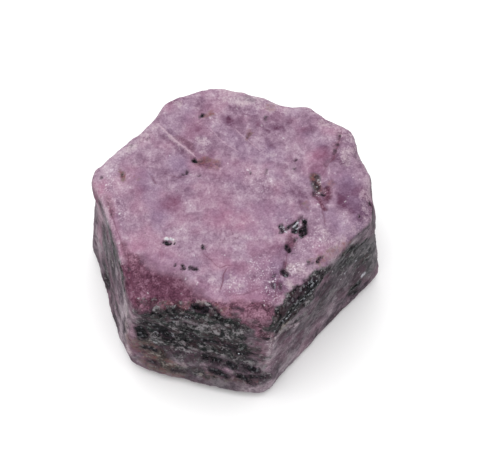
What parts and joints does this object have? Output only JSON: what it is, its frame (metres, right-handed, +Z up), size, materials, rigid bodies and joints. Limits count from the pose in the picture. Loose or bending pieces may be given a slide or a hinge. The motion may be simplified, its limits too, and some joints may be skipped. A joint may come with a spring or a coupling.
{
  "type": "raw ruby crystal",
  "caption": "Raw opaque ruby crystal: a stubby six-sided prism with a flat top, worn edges and dark mica beds in its sides. It rests on its flat lower face.",
  "frame": {"origin": "middle of the bounding box, on the flat lower face that the crystal rests on", "axes": "+X to the right-hand corner of the hexagon, along the longest extent; -Y out of the front prism face; +Z up, across the basal faces"},
  "size_m": [0.0306, 0.028, 0.0171],
  "materials": {
    "ruby": "rough, between waxy and glassy, mauve pink with dark mica"
  },
  "bodies": {
    "root": {"ruby_crystal": "ruby"}
  },
  "joints": []
}
